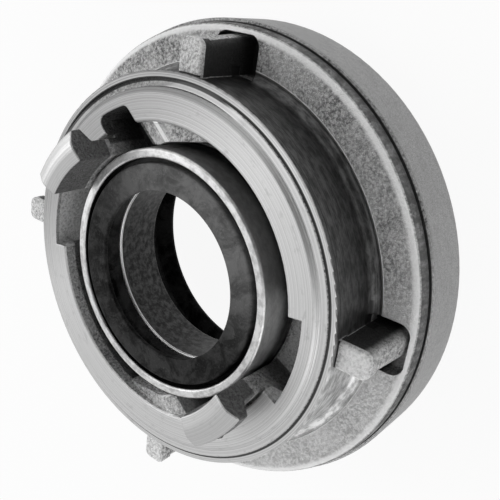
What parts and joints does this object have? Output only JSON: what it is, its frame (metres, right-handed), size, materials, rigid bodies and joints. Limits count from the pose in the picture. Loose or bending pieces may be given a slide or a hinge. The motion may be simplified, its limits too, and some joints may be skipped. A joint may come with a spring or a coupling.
{
  "type": "storz coupling",
  "caption": "Storz reducing adapter: cast light-alloy ring with claws and lip channel for a small hose coupling, and a wider flange with the larger coupling behind.",
  "frame": {"origin": "on the bore's axis at the height of the lower claws' tips, on which the part stands", "axes": "+Z along the bore's axis towards the small half; the claws of both halves lie on +Y and -Y"},
  "size_m": [0.125, 0.125, 0.0608],
  "materials": {
    "casting": "cast, partly turned bright",
    "seal_rubber": "satin moulded rubber"
  },
  "bodies": {
    "root": {"adapter_body": "casting", "c_seal": "seal_rubber", "b_seal": "seal_rubber"}
  },
  "joints": []
}
